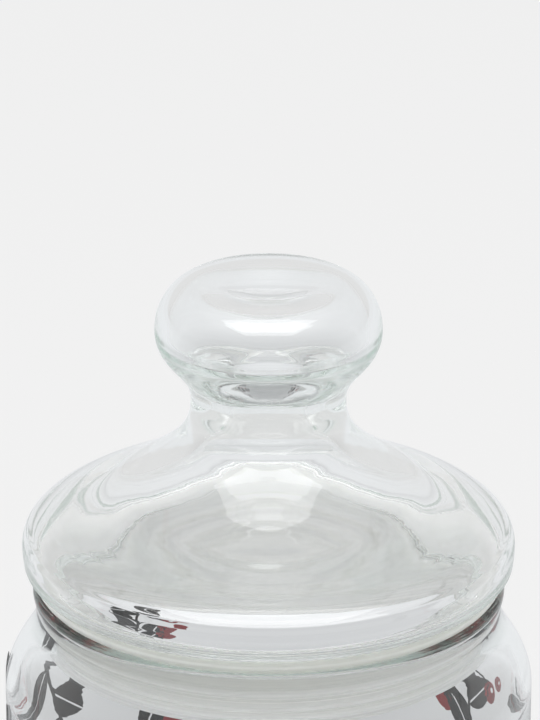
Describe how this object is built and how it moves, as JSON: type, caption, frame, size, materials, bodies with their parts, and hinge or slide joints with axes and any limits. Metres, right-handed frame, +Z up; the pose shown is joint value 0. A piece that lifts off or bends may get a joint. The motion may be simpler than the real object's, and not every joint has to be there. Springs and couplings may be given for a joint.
{
  "type": "jam pot",
  "caption": "Round clear glass jam pot with a blown glass lid, hollow knob and a finned plastic sealing ring in the neck.",
  "frame": {"origin": "centre of the foot, on the surface that the jar stands on", "axes": "+Z up, along the axis of jar, sealing ring and lid"},
  "size_m": [0.1, 0.1, 0.1479],
  "materials": {
    "jar": "clear polished",
    "seal_ring": "milky translucent",
    "lid": "clear polished"
  },
  "bodies": {
    "jar": {"jar": "jar"},
    "seal_ring": {"seal_ring": "seal_ring"},
    "lid": {"lid": "lid"}
  },
  "joints": [
    {"name": "lid_lift", "type": "slide", "parent": "jar", "child": "seal_ring", "axis": [0, 0, 1], "range_m": [0, 0.08]},
    {"name": "lid_turn", "type": "hinge", "parent": "seal_ring", "child": "lid", "pos_m": [0, 0, 0.0914], "axis": [0, 0, 1], "continuous": true}
  ]
}
